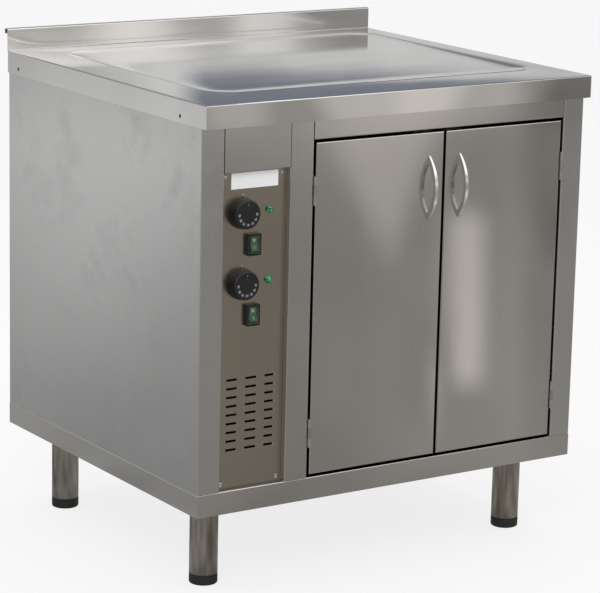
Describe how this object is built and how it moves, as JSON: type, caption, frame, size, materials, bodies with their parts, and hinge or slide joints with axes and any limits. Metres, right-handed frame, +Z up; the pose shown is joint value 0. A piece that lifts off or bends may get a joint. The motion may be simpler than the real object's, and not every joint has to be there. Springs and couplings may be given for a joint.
{
  "type": "plate warmer cabinet",
  "caption": "Stainless steel plate warmer cabinet with a heated worktop and upstand, hinged doors over a warm space, a recessed control panel and tubular legs on adjustable feet.",
  "frame": {"origin": "on the floor, under the middle of the cabinet's bounding box", "axes": "+X to the right seen from the front, +Y towards the back, +Z up; the doors face -Y"},
  "size_m": [0.8, 0.7304, 0.895],
  "materials": {
    "stainless": "brushed",
    "panel_steel": "brushed, darker",
    "inner_steel": "mill finish",
    "handle_metal": "satin chrome",
    "heater_steel": "dull, heat tinted",
    "black_plastic": "matte",
    "green_plastic": "gloss",
    "green_lens": "gloss, faceted lens",
    "clear_cap": "clear",
    "white_plate": "gloss",
    "mineral_wool": "soft",
    "copper": "drawn",
    "ivory_plastic": "matte"
  },
  "bodies": {
    "cabinet": {"worktop": "stainless", "worktop_channels": "inner_steel", "top_heater": "heater_steel", "top_heater_tray": "inner_steel", "worktop_side_screws": "stainless", "left_side_panel": "stainless", "right_side_panel": "stainless", "back_panel": "stainless", "base_tray": "stainless", "middle_post": "stainless", "door_rail": "stainless", "control_header": "stainless", "control_panel": "panel_steel", "control_panel_screws": "stainless", "blank_plate": "white_plate", "panel_brackets": "inner_steel", "divider_panel": "inner_steel", "cabinet_liner": "inner_steel", "ceiling_liner": "inner_steel", "insulation": "mineral_wool", "cabinet_heater": "heater_steel", "heater_brackets": "inner_steel", "heater_guard": "stainless", "shelf": "stainless", "shelf_rails": "stainless", "thermostats": "stainless", "thermostat_capillaries": "copper", "switch_bodies": "black_plastic", "switch_caps": "clear_cap", "pilot_lamps": "green_lens", "terminal_block": "ivory_plastic", "cable_gland": "black_plastic", "door_catches": "ivory_plastic", "hinge_frame_leaves": "stainless", "hinge_pins": "stainless", "legs": "stainless", "leg_flanges": "stainless", "leg_plugs": "black_plastic"},
    "left_door": {"left_door_skin": "stainless", "left_door_liner": "stainless", "left_door_handle": "handle_metal", "left_door_handle_screws": "stainless", "left_door_hinge_leaves": "stainless", "left_door_strike": "stainless"},
    "right_door": {"right_door_skin": "stainless", "right_door_liner": "stainless", "right_door_handle": "handle_metal", "right_door_handle_screws": "stainless", "right_door_hinge_leaves": "stainless", "right_door_strike": "stainless"},
    "upper_control_knob": {"upper_knob": "black_plastic", "upper_shaft": "stainless"},
    "lower_control_knob": {"lower_knob": "black_plastic", "lower_shaft": "stainless"},
    "upper_switch_rocker": {"upper_rocker": "green_plastic"},
    "lower_switch_rocker": {"lower_rocker": "green_plastic"},
    "front_left_adjuster": {"front_left_foot": "black_plastic"},
    "front_right_adjuster": {"front_right_foot": "black_plastic"},
    "rear_left_adjuster": {"rear_left_foot": "black_plastic"},
    "rear_right_adjuster": {"rear_right_foot": "black_plastic"}
  },
  "joints": [
    {"name": "left_door_hinge", "type": "hinge", "parent": "cabinet", "child": "left_door", "pos_m": [-0.1755, -0.34275, 0.485], "axis": [0, 0, -1], "range_deg": [0, 170]},
    {"name": "right_door_hinge", "type": "hinge", "parent": "cabinet", "child": "right_door", "pos_m": [0.3515, -0.34275, 0.485], "axis": [0, 0, 1], "range_deg": [0, 180]},
    {"name": "upper_knob_turn", "type": "hinge", "parent": "cabinet", "child": "upper_control_knob", "pos_m": [-0.3106, -0.32875, 0.6653], "axis": [0, 1, 0], "range_deg": [0, 270]},
    {"name": "upper_rocker_tip", "type": "hinge", "parent": "cabinet", "child": "upper_switch_rocker", "pos_m": [-0.29, -0.32875, 0.6106], "axis": [1, 0, 0], "range_deg": [0, 20]},
    {"name": "lower_knob_turn", "type": "hinge", "parent": "cabinet", "child": "lower_control_knob", "pos_m": [-0.3106, -0.32875, 0.5446], "axis": [0, 1, 0], "range_deg": [0, 270]},
    {"name": "lower_rocker_tip", "type": "hinge", "parent": "cabinet", "child": "lower_switch_rocker", "pos_m": [-0.29, -0.32875, 0.4899], "axis": [1, 0, 0], "range_deg": [0, 20]},
    {"name": "front_left_foot_screw", "type": "hinge", "parent": "cabinet", "child": "front_left_adjuster", "pos_m": [-0.328, -0.24975, 0.04], "axis": [0, 0, -1], "continuous": true},
    {"name": "front_right_foot_screw", "type": "hinge", "parent": "cabinet", "child": "front_right_adjuster", "pos_m": [0.328, -0.24975, 0.04], "axis": [0, 0, -1], "continuous": true},
    {"name": "rear_left_foot_screw", "type": "hinge", "parent": "cabinet", "child": "rear_left_adjuster", "pos_m": [-0.328, 0.25225, 0.04], "axis": [0, 0, -1], "continuous": true},
    {"name": "rear_right_foot_screw", "type": "hinge", "parent": "cabinet", "child": "rear_right_adjuster", "pos_m": [0.328, 0.25225, 0.04], "axis": [0, 0, -1], "continuous": true}
  ]
}
